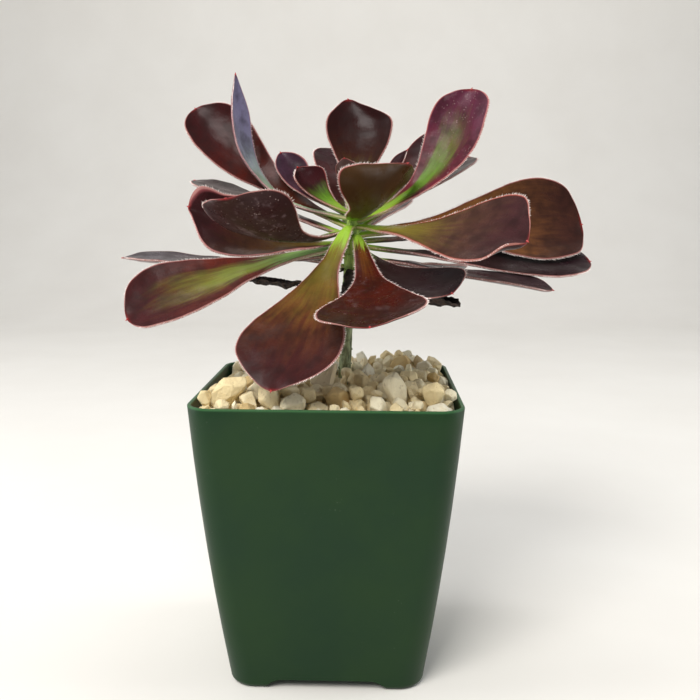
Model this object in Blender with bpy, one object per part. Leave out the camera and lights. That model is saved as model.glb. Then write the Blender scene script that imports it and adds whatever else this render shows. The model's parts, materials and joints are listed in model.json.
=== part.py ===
"""Potted aeonium: a dark-leaved rosette on a bare stem, in a square nursery pot.

The origin is under the middle of the whole plant's box, on the surface that the pot
stands on. +Z is up, +X is to the right of the pot's front face and -Y is towards the
front. Each piece is built round the middle of the pot's footprint, and main() then moves
them all to POT_PLACE. Every length is in metres; MM turns millimetres into metres.
"""

import math
import random
from collections import namedtuple

import bmesh
import bpy
from mathutils import Matrix, Vector

MM = 0.001
GAP = 0.35 * MM
POT_PLACE = Vector((-10.0, -4.35, 0.0)) * MM

# The pot: a tapered square with rounded corners and slightly bulging sides, standing on
# four corner feet.
POT_HEIGHT = 100 * MM
POT_TOP = 89 * MM
POT_BASE = 66.5 * MM
CORNER_TOP = 9 * MM
CORNER_BASE = 12 * MM
CORNER_STEPS = 6
POT_BULGE = 2.0 * MM
WALL_LEVELS = 6
POT_WALL = 1.3 * MM
RIM_ROUND = 0.4 * MM
FOOT_ROUND = 1.2 * MM
FOOT_PAD = 3.0 * MM
FOOT_HEIGHT = 3.5 * MM
FOOT_WIDTH = 14 * MM
FLOOR_THICKNESS = 1.6 * MM
DRAIN_RADIUS = 4 * MM
DRAIN_RING = 19 * MM
DRAIN_SIDES = 20

# What fills the pot, and the dressing of gravel on top of it.
MIX_TOP = 90 * MM
GRAVEL_EDGE = 97 * MM
GRAVEL_CROWN = 104.5 * MM
GRAVEL_RINGS = 9
GRAVEL_LUMP = 1.0 * MM

# The stem: root end, foot in the gravel, two points up it, and the growing tip.
STEM_PATH = [
    Vector((4.2, 2.4, 72.0)) * MM,
    Vector((4.8, 3.0, 100.0)) * MM,
    Vector((5.6, 3.4, 122.0)) * MM,
    Vector((6.9, 3.2, 142.0)) * MM,
    Vector((7.4, 3.0, 156.0)) * MM,
    Vector((7.4, 3.0, 165.0)) * MM,
]
STEM_RADII = [2.3 * MM, 2.2 * MM, 2.1 * MM, 2.6 * MM, 2.3 * MM, 0.7 * MM]
STEM_STEPS = 4
SOCKET_RADIUS = 3.2 * MM
CROWN = Vector((7.4, 3.0, 155.0)) * MM

# A leaf is a loft of rings of ten points: five across the upper face, five under it.
LEAF_STATIONS = (0.0, 0.14, 0.28, 0.42, 0.55, 0.67, 0.78, 0.87, 0.94, 0.98)
LEAF_ACROSS = (-1.0, -0.55, 0.0, 0.55, 1.0)
LEAF_WIDEST = 0.80
LEAF_PINCH = 0.60
LEAF_PINCH_END = 0.16
MARGIN_THICKNESS = 0.7 * MM
STALK_THICKNESS = 2.2 * MM
BLADE_THICKNESS = 1.7 * MM
TIP_THICKNESS = 0.9 * MM
TIP_POINT = 0.8 * MM
FULL_SIZE_WIDTH = 24 * MM

# One row for each leaf. All places are measured from the middle of the crown, in mm and
# degrees, where 0 degrees is +X and 90 is +Y. The stalk leaves the crown towards `root`,
# `out` mm from its axis and `low` mm up it. The tip lies towards `azimuth`, `reach` mm
# out and `rise` mm up. `bow` is how many mm the midrib arches over the straight line
# (minus: sags under it) and `sway` how many it bends to the left. `turn` rolls the blade
# about its midrib in degrees (plus lifts the left edge), and `cup` lifts both edges, as
# a share of half the width. `neck` is the stalk's width as a share of the blade's, and
# `blunt` is how square the end is.
Leaf = namedtuple(
    "Leaf",
    "name root low out azimuth reach rise bow sway width turn cup neck blunt",
)
LEAVES = [
    # Lower ring, from the front round to the left.
    Leaf("front_drooping", 248, 1, 3.4, 246, 53, -48, 2, 0.5, 38, 0, 0.22, 0.16, 2.4),
    Leaf("front_broad", 292, -2, 3.8, 276, 63, -27, -6, 3, 34, 9, 0.20, 0.16, 4.0),
    Leaf("left_banded", 214, -6, 4.0, 203, 79, -28, 2, 0, 27, -38, 0.30, 0.18, 2.6),
    Leaf("left_level", 185, -9, 4.0, 182, 81, -11, -2, 0, 26, -3, 0.15, 0.18, 2.6),
    Leaf("left_speckled", 194, -1, 3.7, 229, 57, 9, -7, -2, 31, 17, 0.35, 0.18, 3.0),
    Leaf("left_folded", 168, -5, 3.8, 186, 56, 7, -6, 0, 24, -66, 0.42, 0.20, 1.25),
    Leaf("left_far", 150, -2, 3.8, 160, 64, 17, 0, 0, 24, -5, 0.10, 0.20, 2.4),
    Leaf("back_left_broad", 145, 1, 3.5, 158, 62, 44, -5, 0, 22, -60, 0.30, 0.20, 3.0),
    Leaf("back_left_narrow", 184, 4, 3.3, 173, 42, 52, -16, 0, 17, -5, 0.30, 0.20, 2.4),
    # Inner ring.
    Leaf("inner_left_small", 138, 4.8, 3.0, 158, 28, 26, -3, 0, 12, -50, 0.50, 0.28, 2.2),
    Leaf("inner_left_green", 195, 6, 2.8, 172, 20, 20, -2, 0, 20, -20, 0.40, 0.32, 3.0),
    Leaf("centre_front", 285, 4, 3.2, 307, 22, 21, -4, -1, 40, 10, 0.26, 0.31, 2.8),
    Leaf("inner_right_small", 40, 7, 2.6, 20, 20, 27, -2, 0, 10, 10, 0.40, 0.30, 2.2),
    Leaf("back_centre_tall", 95, 4, 3.2, 86, 33, 47, -5, 0, 26, 0, 0.35, 0.22, 2.6),
    Leaf("right_upright", 5, 3, 3.4, 10, 40, 48, -9, 0, 21, 55, 0.30, 0.26, 3.2),
    # Right side.
    Leaf("right_broad", 14, -2, 3.8, 14, 87, 3, 1, 0, 33, 64, 0.25, 0.22, 3.0),
    Leaf("right_front", 335, 1, 3.6, 313, 78, 1, -2, 0, 27, 47, 0.20, 0.20, 3.0),
    Leaf("right_under", 5, -6, 4.0, 8, 87, -12, -2, 0, 28, 28, 0.20, 0.18, 2.6),
    Leaf("right_thin", 345, -10, 4.0, 349, 69, -20, 0, 0, 24, 5, 0.15, 0.18, 2.6),
    Leaf("right_low_front", 318, -7, 3.8, 316, 45, -20, -3, 0, 29, 17, 0.20, 0.20, 3.0),
    # Behind.
    Leaf("back_left_low", 158, -13, 4.0, 162, 52, -9, 1, 0, 24, 0, 0.15, 0.18, 2.6),
    Leaf("back_left_level", 132, -6, 3.8, 130, 64, -4, 0, 0, 27, 0, 0.20, 0.18, 2.6),
    Leaf("back_grey", 112, -1, 3.6, 101, 48, 31, 0, 0, 19, 0, 0.30, 0.20, 2.6),
    Leaf("back_slate", 55, 3, 3.4, 42, 46, 36, -3, 0, 18, 10, 0.30, 0.20, 2.6),
    Leaf("back_right_edge", 45, 0, 3.6, 40, 58, 27, 0, 0, 22, 0, 0.10, 0.20, 2.6),
    Leaf("back_low", 98, -9, 4.0, 98, 66, -12, 0, 0, 28, 0, 0.20, 0.18, 2.6),
    Leaf("back_right_low", 62, -11, 4.0, 52, 64, -18, 0, 0, 27, 0, 0.20, 0.18, 2.6),
    Leaf("back_right_level", 40, -4.5, 4.0, 30, 68, -1, 0, 0, 27, 0, 0.20, 0.18, 2.6),
    Leaf("back_mid", 78, -3, 3.8, 78, 58, 10, 0, 0, 27, 0, 0.20, 0.18, 2.6),
    # The heart.
    Leaf("heart_1", 250, 7.5, 2.4, 250, 8, 23, 0, 0, 9, 0, 0.40, 0.40, 2.4),
    Leaf("heart_2", 350, 9, 2.0, 350, 8, 22, 0, 0, 8, 0, 0.40, 0.40, 2.4),
    Leaf("heart_3", 110, 8, 2.2, 120, 7, 21, 0, 0, 8, 0, 0.40, 0.40, 2.4),
    Leaf("heart_4", 200, 10, 1.6, 200, 5, 20, 0, 0, 6, 0, 0.40, 0.40, 2.4),
    Leaf("heart_5", 60, 11, 1.2, 60, 4, 19, 0, 0, 5, 0, 0.40, 0.40, 2.4),
    # Dried leaves hanging under the rosette.
    Leaf("dried_right", 320, -16, 3.6, 320, 46, -24, -3, 0, 8, 0, 0.80, 0.40, 2.2),
    Leaf("dried_left", 205, -14, 3.5, 196, 37, -18, -4, 0, 6, 0, 0.80, 0.40, 2.2),
    Leaf("dried_hanging", 262, -14, 3.4, 262, 8, -28, 2, 0, 7, 0, 0.80, 0.40, 2.2),
]


def smooth_step(x):
    x = min(max(x, 0.0), 1.0)
    return x * x * (3.0 - 2.0 * x)


def mix(a, b, share):
    return a + (b - a) * share


def material(name, colour, roughness):
    """A Principled material of one colour."""
    made = bpy.data.materials.new(name)
    made.use_nodes = True
    made.diffuse_color = (*colour, 1.0)
    shader = made.node_tree.nodes["Principled BSDF"]
    shader.inputs["Base Color"].default_value = (*colour, 1.0)
    shader.inputs["Roughness"].default_value = roughness
    shader.inputs["Metallic"].default_value = 0.0
    return made


def add_object(name, mesh_maker, finish, smooth=True):
    """Makes a named object from a bmesh, with its faces pointing outwards."""
    bmesh.ops.recalc_face_normals(mesh_maker, faces=mesh_maker.faces)
    mesh = bpy.data.meshes.new(name)
    mesh_maker.to_mesh(mesh)
    mesh_maker.free()
    if smooth:
        mesh.shade_smooth()
        mesh.set_sharp_from_angle(angle=math.radians(40))
    if finish:
        mesh.materials.append(finish)
    made = bpy.data.objects.new(name, mesh)
    bpy.context.scene.collection.objects.link(made)
    return made


def loft(rings, closed_start=True, closed_end=True):
    """A bmesh skinned over rings of points that all have the same count."""
    maker = bmesh.new()
    rows = [[maker.verts.new(point) for point in ring] for ring in rings]
    count = len(rows[0])
    for low, high in zip(rows, rows[1:]):
        for i in range(count):
            j = (i + 1) % count
            maker.faces.new((low[i], low[j], high[j], high[i]))
    if closed_start:
        maker.faces.new(reversed(rows[0]))
    if closed_end:
        maker.faces.new(rows[-1])
    return maker


def rounded_square(side, corner, z, steps=CORNER_STEPS):
    """Points round a square with rounded corners, centred on the Z axis."""
    flat = side / 2 - corner
    points = []
    for quarter, (sx, sy) in enumerate([(1, 1), (-1, 1), (-1, -1), (1, -1)]):
        for step in range(steps + 1):
            angle = math.radians(90) * (quarter + step / steps)
            x = sx * flat + corner * math.cos(angle)
            y = sy * flat + corner * math.sin(angle)
            points.append(Vector((x, y, z)))
    return points


def pot_ring(z, inset=0.0):
    """The pot's outline at a height, moved inwards by a distance."""
    share = z / POT_HEIGHT
    bulge = POT_BULGE * 4 * share * (1 - share)
    side = mix(POT_BASE, POT_TOP, share) + bulge - 2 * inset
    corner = max(mix(CORNER_BASE, CORNER_TOP, share) - inset, 1 * MM)
    return rounded_square(side, corner, z)


def cut(target, cutter):
    """Takes a hidden cutter's shape out of a target."""
    cutter.hide_render = True
    cutter.display_type = "WIRE"
    taken = target.modifiers.new(cutter.name, "BOOLEAN")
    taken.operation = "DIFFERENCE"
    taken.object = cutter


def cylinder_cutter(name, x, y, low, high, radius):
    maker = bmesh.new()
    place = Matrix.Translation((x, y, (low + high) / 2))
    bmesh.ops.create_cone(
        maker,
        cap_ends=True,
        segments=DRAIN_SIDES,
        radius1=radius,
        radius2=radius,
        depth=high - low,
        matrix=place,
    )
    return add_object(name, maker, None, smooth=False)


def box_cutter(name, sides, centre):
    maker = bmesh.new()
    place = Matrix.Translation(centre) @ Matrix.Diagonal((*sides, 1.0))
    bmesh.ops.create_cube(maker, size=1.0, matrix=place)
    return add_object(name, maker, None, smooth=False)


def make_pot(finish):
    """One moulding: four feet under a flat floor, tapered walls and a rounded rim."""
    inside = FOOT_HEIGHT + FLOOR_THICKNESS
    brim = POT_HEIGHT - RIM_ROUND
    outer = [mix(2 * FOOT_ROUND, brim, i / WALL_LEVELS) for i in range(WALL_LEVELS + 1)]
    inner = [mix(brim, inside, i / WALL_LEVELS) for i in range(WALL_LEVELS + 1)]
    rings = [
        pot_ring(FOOT_HEIGHT, FOOT_ROUND + FOOT_PAD),
        pot_ring(0.0, FOOT_ROUND + FOOT_PAD),
        pot_ring(0.0, FOOT_ROUND),
        pot_ring(0.3 * FOOT_ROUND, 0.45 * FOOT_ROUND),
        *[pot_ring(z) for z in outer],
        pot_ring(POT_HEIGHT, RIM_ROUND),
        pot_ring(POT_HEIGHT, POT_WALL - RIM_ROUND),
        *[pot_ring(z, POT_WALL) for z in inner],
    ]
    pot = add_object("pot", loft(rings), finish, smooth=False)
    arch = POT_BASE - 2 * FOOT_WIDTH
    through = POT_BASE + 20 * MM
    for name, sides in (
        ("foot_arch_x", (through, arch, 2 * FOOT_HEIGHT)),
        ("foot_arch_y", (arch, through, 2 * FOOT_HEIGHT)),
    ):
        cut(pot, box_cutter(name, sides, (0, 0, 0)))
    spots = [(0.0, 0.0)]
    for quarter in range(4):
        angle = math.radians(45 + 90 * quarter)
        spots.append((DRAIN_RING * math.cos(angle), DRAIN_RING * math.sin(angle)))
    for number, (x, y) in enumerate(spots):
        name = f"drain_hole_{number}"
        cut(pot, cylinder_cutter(name, x, y, -2 * MM, 2 * inside, DRAIN_RADIUS))
    return pot


def make_potting_mix(finish):
    """The block of mix that fills the pot up to the gravel, with the root's socket."""
    low = FOOT_HEIGHT + FLOOR_THICKNESS + GAP
    inset = POT_WALL + GAP
    levels = [low, mix(low, MIX_TOP, 0.5), MIX_TOP]
    rings = [pot_ring(z, inset) for z in levels]
    block = add_object("potting_mix", loft(rings), finish)
    root = STEM_PATH[0]
    socket = cylinder_cutter(
        "root_socket", root.x, root.y + 0.3 * MM, root.z - GAP, MIX_TOP + 5 * MM, SOCKET_RADIUS
    )
    cut(block, socket)
    return block


def make_gravel(finish):
    """The bed of gravel: a lumpy layer, lowest along the rim, highest at the stem."""
    lumps = random.Random(7)
    inset = POT_WALL + GAP
    low = MIX_TOP + GAP
    rings = [pot_ring(low, inset)]
    middle = Vector((STEM_PATH[1].x, STEM_PATH[1].y, 0.0))
    for number in range(GRAVEL_RINGS):
        share = number / GRAVEL_RINGS
        height = mix(GRAVEL_EDGE, GRAVEL_CROWN, smooth_step(share * 1.2))
        ring = []
        for point in pot_ring(GRAVEL_EDGE, inset):
            flat = Vector((point.x, point.y, 0.0)).lerp(middle, share)
            flat.z = height + lumps.uniform(-GRAVEL_LUMP, GRAVEL_LUMP) * min(1.0, 3 * share)
            ring.append(flat)
        rings.append(ring)
    bed = add_object("gravel", loft(rings), finish, smooth=False)
    hole = cylinder_cutter(
        "stem_hole", middle.x, middle.y, low - 5 * MM, GRAVEL_CROWN + 5 * MM, SOCKET_RADIUS
    )
    cut(bed, hole)
    return bed


def catmull_rom(points, steps):
    """Points on a smooth curve through the given ones, with their parameters."""
    padded = [2 * points[0] - points[1], *points, 2 * points[-1] - points[-2]]
    found = []
    for i in range(len(points) - 1):
        a, b, c, d = padded[i : i + 4]
        for step in range(steps):
            t = step / steps
            point = 2 * b + (c - a) * t + (2 * a - 5 * b + 4 * c - d) * t * t
            point += (3 * b - a - 3 * c + d) * t * t * t
            found.append((0.5 * point, i + t))
    found.append((points[-1], float(len(points) - 1)))
    return found


def make_stem(finish):
    """The bare woody stem, from its root end in the mix to the rosette's crown."""
    curve = bpy.data.curves.new("stem", "CURVE")
    curve.dimensions = "3D"
    curve.bevel_depth = 1.0
    curve.bevel_resolution = 3
    curve.use_fill_caps = True
    path = catmull_rom(STEM_PATH, STEM_STEPS)
    spline = curve.splines.new("POLY")
    spline.points.add(len(path) - 1)
    for spot, (point, place) in zip(spline.points, path):
        spot.co = (*point, 1.0)
        below = min(int(place), len(STEM_RADII) - 2)
        spot.radius = mix(STEM_RADII[below], STEM_RADII[below + 1], place - below)
    curve.materials.append(finish)
    stem = bpy.data.objects.new("stem", curve)
    bpy.context.scene.collection.objects.link(stem)
    return stem


def half_width(leaf, s):
    """Half the leaf's width at a share of its length, from its pinched root to its tip."""
    if s < LEAF_WIDEST:
        swell = smooth_step(s / LEAF_WIDEST) ** (3.2 - 4.0 * leaf.neck)
        share = mix(leaf.neck, 1.0, swell)
    else:
        past = (s - LEAF_WIDEST) / (1.0 - LEAF_WIDEST)
        share = (1.0 - past**leaf.blunt) ** (1.0 / leaf.blunt)
    pinch = mix(LEAF_PINCH, 1.0, smooth_step(s / LEAF_PINCH_END))
    return leaf.width * MM / 2 * share * pinch


def thickness(leaf, s, t):
    """The leaf's thickness at a share of its length and across it (-1 to 1)."""
    if s < 0.5:
        middle = mix(STALK_THICKNESS, BLADE_THICKNESS, s / 0.5)
    else:
        middle = mix(BLADE_THICKNESS, TIP_THICKNESS, (s - 0.5) / 0.5)
    size = min(1.0, 0.35 + 0.65 * leaf.width * MM / FULL_SIZE_WIDTH)
    return size * mix(middle, MARGIN_THICKNESS, t * t)


def from_crown(angle, out, up):
    """A point some mm out from the crown's middle towards an angle, and some mm up."""
    angle = math.radians(angle)
    return CROWN + Vector((out * math.cos(angle), out * math.sin(angle), up)) * MM


def leaf_axes(leaf, s):
    """The midrib's point at a share of its length, with its three directions."""
    start = from_crown(leaf.root, leaf.out, leaf.low)
    chord = from_crown(leaf.azimuth, leaf.reach, leaf.rise) - start
    left = Vector((-chord.y, chord.x, 0.0)).normalized()
    over = chord.cross(left).normalized()
    bend = over * (leaf.bow * MM) + left * (leaf.sway * MM)
    point = start + chord * s + bend * (4 * s * (1 - s))
    along = (chord + bend * (4 * (1 - 2 * s))).normalized()
    side = (left - along * left.dot(along)).normalized()
    roll = math.radians(leaf.turn) * mix(0.2, 1.0, smooth_step(s / 0.6))
    side = Matrix.Rotation(roll, 3, along) @ side
    return point, along, side, along.cross(side)


def leaf_ring(leaf, s):
    """Ten points round the leaf: across its upper face and back across its under face."""
    point, _, side, up = leaf_axes(leaf, s)
    reach = half_width(leaf, s)
    cup = leaf.cup * mix(0.5, 1.0, s)
    upper, under = [], []
    for t in LEAF_ACROSS:
        middle = point + side * (reach * t) + up * (reach * cup * t * t)
        normal = (up - side * (2 * cup * t)).normalized()
        half = normal * (thickness(leaf, s, t) / 2)
        upper.append(middle + half)
        under.append(middle - half)
    return upper + under[::-1]


def make_leaf(leaf, finish):
    """One spoon-shaped leaf, closed at its stalk and drawn to a small point."""
    maker = loft([leaf_ring(leaf, s) for s in LEAF_STATIONS], closed_end=False)
    point, along, _, _ = leaf_axes(leaf, 1.0)
    tip = maker.verts.new(point + along * TIP_POINT)
    maker.verts.ensure_lookup_table()
    count = 2 * len(LEAF_ACROSS)
    first = count * (len(LEAF_STATIONS) - 1)
    for i in range(count):
        j = (i + 1) % count
        maker.faces.new((maker.verts[first + i], maker.verts[first + j], tip))
    return add_object("leaf_" + leaf.name, maker, finish)


def main():
    for old in list(bpy.data.objects):
        bpy.data.objects.remove(old)
    make_pot(material("green_plastic", (0.022, 0.065, 0.026), 0.45))
    make_potting_mix(material("potting_mix", (0.030, 0.018, 0.011), 0.95))
    make_gravel(material("cream_gravel", (0.62, 0.52, 0.36), 0.90))
    make_stem(material("stem_bark", (0.28, 0.30, 0.20), 0.75))
    fresh = material("dark_leaf", (0.055, 0.016, 0.016), 0.35)
    young = material("young_leaf", (0.13, 0.16, 0.03), 0.35)
    dried = material("dried_leaf", (0.030, 0.016, 0.012), 0.85)
    for leaf in LEAVES:
        finish = fresh
        if leaf.name.startswith("heart"):
            finish = young
        if leaf.name.startswith("dried"):
            finish = dried
        make_leaf(leaf, finish)
    for made in bpy.data.objects:
        made.location = POT_PLACE


main()
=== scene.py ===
# %% [markdown]
# # A potted aeonium
#
# This lesson dresses the solid model of a small succulent: a rosette of dark, spoon-shaped
# leaves on a bare stem, standing in a square nursery pot that is topped with gravel. The
# solid model gives every place and size. It is loaded first, and each piece below either
# takes its measure from it or starts as a copy of one of its solids. Lengths are in metres,
# so MM turns a number of millimetres into metres.

# %% Load the solid model and measure it
import math
import random

import bpy
import numpy as np
from mathutils import Matrix, Vector
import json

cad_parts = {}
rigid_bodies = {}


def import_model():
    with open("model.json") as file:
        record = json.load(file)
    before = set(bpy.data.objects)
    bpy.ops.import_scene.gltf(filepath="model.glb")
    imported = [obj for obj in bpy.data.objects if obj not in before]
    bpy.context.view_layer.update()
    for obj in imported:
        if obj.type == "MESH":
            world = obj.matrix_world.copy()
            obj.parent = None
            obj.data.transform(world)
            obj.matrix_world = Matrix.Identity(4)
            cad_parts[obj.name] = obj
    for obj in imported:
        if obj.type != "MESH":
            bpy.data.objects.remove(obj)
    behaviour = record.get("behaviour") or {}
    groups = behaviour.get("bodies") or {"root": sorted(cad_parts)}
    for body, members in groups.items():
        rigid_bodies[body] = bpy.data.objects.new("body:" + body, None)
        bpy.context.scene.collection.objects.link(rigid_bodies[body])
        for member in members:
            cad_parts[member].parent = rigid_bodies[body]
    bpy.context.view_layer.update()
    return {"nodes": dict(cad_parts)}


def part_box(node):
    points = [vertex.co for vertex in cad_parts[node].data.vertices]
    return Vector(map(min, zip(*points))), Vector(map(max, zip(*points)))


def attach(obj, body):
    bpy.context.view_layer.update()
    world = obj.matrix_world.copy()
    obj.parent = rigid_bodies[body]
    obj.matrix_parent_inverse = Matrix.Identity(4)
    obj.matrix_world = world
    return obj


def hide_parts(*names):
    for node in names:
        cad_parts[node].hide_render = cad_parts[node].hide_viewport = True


for startup in list(bpy.data.objects):
    bpy.data.objects.remove(startup)
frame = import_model()
MM = 0.001
nodes = frame["nodes"]
pot_low, pot_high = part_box("pot")
foot = Vector(((pot_low.x + pot_high.x) / 2, (pot_low.y + pot_high.y) / 2, 0.0))

# %% [markdown]
# ## The camera
#
# The plant is seen from the front and a little above, as on a table at chest height. A
# camera close to the object with a fairly short lens gives the strong perspective of a
# hand-held shot: the pot's feet look smaller than its rim. The direction is turned into a
# rotation with to_track_quat, and a third of a degree of roll is added.

# %% Camera
EYE_FROM_FOOT = Vector((14.4, -303.44, 160.4))
LOOKING = Vector((-0.02469, 0.98724, -0.15734))
ROLL = 0.0057
eye = foot + EYE_FROM_FOOT * MM
lens = bpy.data.cameras.new("camera")
lens.sensor_width = 36.0
lens.lens = 44.07
lens.clip_start = 0.01
camera = bpy.data.objects.new("camera", lens)
bpy.context.scene.collection.objects.link(camera)
camera.rotation_mode = "QUATERNION"
roll = Matrix.Rotation(ROLL, 3, "Z").to_quaternion()
camera.rotation_quaternion = LOOKING.to_track_quat("-Z", "Y") @ roll
camera.location = eye
bpy.context.scene.camera = camera
print("camera", round((eye - Vector((0, 0, 0.1))).length, 3), "m from the pot's middle")

# %% [markdown]
# ## Helpers for modelling
#
# An operator acts on everything that is selected, in the mode that it finds. So the first
# helpers enter and leave edit mode, clear the selection, and leave one object selected and
# active. The next ones select vertices or edges of the active object: those that pass a
# test on their place, as a person would with a box select, or those with given numbers.
# The last ones apply modifiers, and copy and join pieces.


# %% Selection helpers
def enter_edit():
    bpy.ops.object.mode_set(mode="EDIT")


def leave_edit():
    bpy.ops.object.mode_set(mode="OBJECT")


def edit_all():
    """Enters edit mode with everything selected."""
    enter_edit()
    bpy.ops.mesh.select_all(action="SELECT")


def point_outwards():
    """Turns all the faces outwards and leaves edit mode."""
    bpy.ops.mesh.select_all(action="SELECT")
    bpy.ops.mesh.normals_make_consistent(inside=False)
    leave_edit()


def deselect_all():
    if bpy.context.mode != "OBJECT":
        leave_edit()
    bpy.ops.object.select_all(action="DESELECT")


def only(piece):
    deselect_all()
    piece.select_set(True)
    bpy.context.view_layer.objects.active = piece
    return piece


# %% Selecting by place and by number
def select_where(piece, test):
    """Selects the vertices whose place passes a test, and stays in edit mode."""
    enter_edit()
    bpy.ops.mesh.select_mode(type="VERT")
    bpy.ops.mesh.select_all(action="DESELECT")
    leave_edit()
    for vertex in piece.data.vertices:
        vertex.select = bool(test(vertex.co))
    enter_edit()


def select_numbers(piece, wanted):
    """Selects vertices by number and stays in edit mode."""
    select_where(piece, lambda p: False)
    leave_edit()
    for number in wanted:
        piece.data.vertices[number].select = True
    enter_edit()


def pick_edges(piece, test):
    """Selects the edges whose two ends pass a test, and stays in edit mode."""
    select_where(piece, lambda p: False)
    bpy.ops.mesh.select_mode(type="EDGE")
    leave_edit()
    spots = piece.data.vertices
    for edge in piece.data.edges:
        a, b = edge.vertices
        edge.select = bool(test(spots[a].co, spots[b].co))
    enter_edit()


# %% Modifiers, copies and joins
def apply_modifier(piece, kind, **settings):
    """Adds a modifier with these settings and applies it."""
    only(piece)
    bpy.ops.object.modifier_add(type=kind)
    added = piece.modifiers[-1]
    for key, value in settings.items():
        setattr(added, key, value)
    bpy.ops.object.modifier_apply(modifier=added.name)
    return piece


def settle(piece, name):
    """Names a finished piece and puts its place into its mesh."""
    only(piece)
    bpy.ops.object.transform_apply(location=True, rotation=True, scale=True)
    piece.name = piece.data.name = name
    return piece


def merged_copy(node, name):
    """A new mesh object with a solid's shape, its loose triangles merged."""
    copy = bpy.data.objects.new(name, nodes[node].data.copy())
    copy.data.materials.clear()
    bpy.context.scene.collection.objects.link(copy)
    only(copy)
    edit_all()
    bpy.ops.mesh.remove_doubles(threshold=1e-6)
    leave_edit()
    return copy


def many(master, places, name, shades=None):
    """One mesh that holds a copy of a small master shape at each place (4 x 4 matrices)."""
    mesh = master.data
    points = np.array([v.co for v in mesh.vertices])
    faces = [tuple(p.vertices) for p in mesh.polygons]
    count = len(points)
    spots, turned = [], []
    for number, place in enumerate(places):
        matrix = np.array(place)
        spots.append(points @ matrix[:3, :3].T + matrix[:3, 3])
        turned += [tuple(i + number * count for i in face) for face in faces]
    made = bpy.data.meshes.new(name)
    made.from_pydata(np.concatenate(spots).tolist(), [], turned)
    made.polygons.foreach_set("use_smooth", [p.use_smooth for p in mesh.polygons] * len(places))
    if shades is not None:
        layer = made.attributes.new("shade", "FLOAT", "POINT")
        layer.data.foreach_set("value", np.repeat(shades, count).astype(np.float32))
    piece = bpy.data.objects.new(name, made)
    bpy.context.scene.collection.objects.link(piece)
    return piece


def join(pieces, name):
    """Joins pieces into the first one."""
    deselect_all()
    for piece in pieces:
        piece.select_set(True)
    bpy.context.view_layer.objects.active = pieces[0]
    if len(pieces) > 1:
        bpy.ops.object.join()
    return settle(pieces[0], name)


# %% [markdown]
# ## Helpers for materials
#
# Every finish is a Principled material with a tree of nodes. These short functions add one
# node each and return its output, so that a pattern reads like a sum. Soft masks are made
# with Map Range nodes set to smooth step.


# %% Values, colours and masks
def feed(tree, socket, value):
    if isinstance(value, bpy.types.NodeSocket):
        tree.links.new(value, socket)
    else:
        socket.default_value = value


def computed(tree, operation, a, b=0.0):
    made = tree.nodes.new("ShaderNodeMath")
    made.operation = operation
    feed(tree, made.inputs[0], a)
    feed(tree, made.inputs[1], b)
    return made.outputs[0]


def times(tree, a, b):
    return computed(tree, "MULTIPLY", a, b)


def plus(tree, a, b):
    return computed(tree, "ADD", a, b)


def mask(tree, value, start, end, low=0.0, high=1.0):
    """A soft step of a value: low before start, high after end."""
    made = tree.nodes.new("ShaderNodeMapRange")
    made.interpolation_type = "SMOOTHSTEP"
    for socket, setting in zip(made.inputs, (value, start, end, low, high)):
        feed(tree, socket, setting)
    return made.outputs[0]


def mixed(tree, share, a, b):
    """A colour between a and b."""
    made = tree.nodes.new("ShaderNodeMix")
    made.data_type = "RGBA"
    feed(tree, made.inputs[0], share)
    feed(tree, made.inputs[6], a)
    feed(tree, made.inputs[7], b)
    return made.outputs[2]


# %% Places, textures and bump
def vector_of(tree, x, y, z):
    made = tree.nodes.new("ShaderNodeCombineXYZ")
    for socket, value in zip(made.inputs, (x, y, z)):
        feed(tree, socket, value)
    return made.outputs[0]


def noise(tree, place, scale, detail=3.0, rough=0.55):
    made = tree.nodes.new("ShaderNodeTexNoise")
    feed(tree, made.inputs["Vector"], place)
    feed(tree, made.inputs["Scale"], scale)
    made.inputs["Detail"].default_value = detail
    made.inputs["Roughness"].default_value = rough
    return made.outputs["Fac"]


def cells(tree, place, scale):
    """Distance from the middles of scattered cells."""
    made = tree.nodes.new("ShaderNodeTexVoronoi")
    feed(tree, made.inputs["Vector"], place)
    feed(tree, made.inputs["Scale"], scale)
    return made.outputs["Distance"]


def object_place(tree):
    return tree.nodes.new("ShaderNodeTexCoord").outputs["Object"]


def axes_of(tree, place):
    made = tree.nodes.new("ShaderNodeSeparateXYZ")
    feed(tree, made.inputs[0], place)
    return made.outputs


def attribute(tree, name):
    made = tree.nodes.new("ShaderNodeAttribute")
    made.attribute_name = name
    return made.outputs["Fac"]


def bump(tree, height, distance, strength=1.0):
    made = tree.nodes.new("ShaderNodeBump")
    made.inputs["Distance"].default_value = distance
    made.inputs["Strength"].default_value = strength
    feed(tree, made.inputs["Height"], height)
    return made.outputs["Normal"]


# %% Materials, groups and colours
def new_finish(name, roughness):
    """A Principled material. Returns it with its tree and its shader node."""
    made = bpy.data.materials.new(name)
    made.use_nodes = True
    shader = made.node_tree.nodes["Principled BSDF"]
    shader.inputs["Roughness"].default_value = roughness
    return made, made.node_tree, shader


def paint(tree, shader, colour, normal):
    feed(tree, shader.inputs["Base Color"], colour)
    feed(tree, shader.inputs["Normal"], normal)


def new_group(name, inputs, outputs):
    """A shader node group: inputs by name and default, outputs by name and example."""
    kinds = {tuple: "NodeSocketColor", float: "NodeSocketFloat"}
    tree = bpy.data.node_groups.new(name, "ShaderNodeTree")
    for title, default in inputs.items():
        kind = kinds[type(default)]
        socket = tree.interface.new_socket(title, in_out="INPUT", socket_type=kind)
        socket.default_value = default
    for title, example in outputs.items():
        kind = kinds[type(example)]
        tree.interface.new_socket(title, in_out="OUTPUT", socket_type=kind)
    entry = tree.nodes.new("NodeGroupInput").outputs
    leave = tree.nodes.new("NodeGroupOutput").inputs
    return tree, entry, leave


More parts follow.
